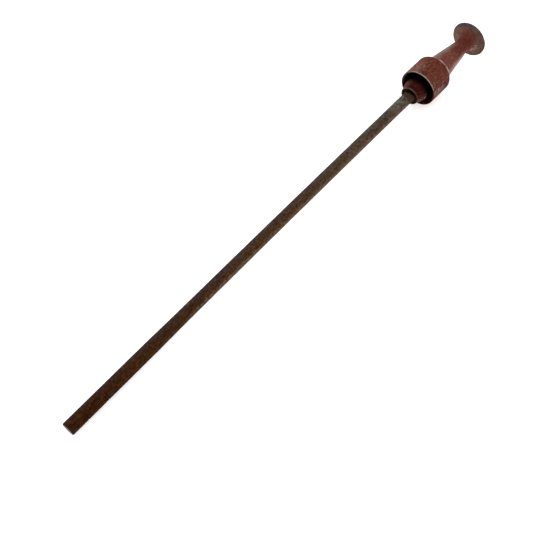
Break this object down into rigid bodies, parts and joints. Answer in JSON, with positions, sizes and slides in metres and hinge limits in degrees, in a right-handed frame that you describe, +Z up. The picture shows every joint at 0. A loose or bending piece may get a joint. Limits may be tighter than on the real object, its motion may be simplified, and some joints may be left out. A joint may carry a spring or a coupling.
{
  "type": "hooded dip rod",
  "caption": "Slim round steel rod with scribed level marks, hung from a tapered plug, a thin hood and a mushroom knob.",
  "frame": {"origin": "centre of the rod's square-cut lower end", "axes": "+X along the rod's axis towards the knob, +Z up with the object lying down"},
  "size_m": [0.2298, 0.0158, 0.0159],
  "materials": {
    "rod_steel": "old round steel bar, brown with fine rust, greyer towards the hood, bare at the cut end",
    "braze_brass": "dull brown brazing, tarnished and stained",
    "ferrule_steel": "thin bare steel tube, stained brown",
    "plug_paint": "red oxide paint, darkened with old oil inside the hood",
    "hood_paint": "dull red oxide paint, scuffed, bare along the open edge, stained dark inside",
    "ring_paint": "worn red oxide paint with pale edges",
    "knob_paint": "dull red oxide paint, worn to grey-brown metal on the knob"
  },
  "bodies": {
    "root": {"dip_rod": "rod_steel", "braze_ring": "braze_brass", "ferrule": "ferrule_steel", "tapered_plug": "plug_paint", "hood": "hood_paint", "neck_ring": "ring_paint", "knob": "knob_paint"}
  },
  "joints": []
}
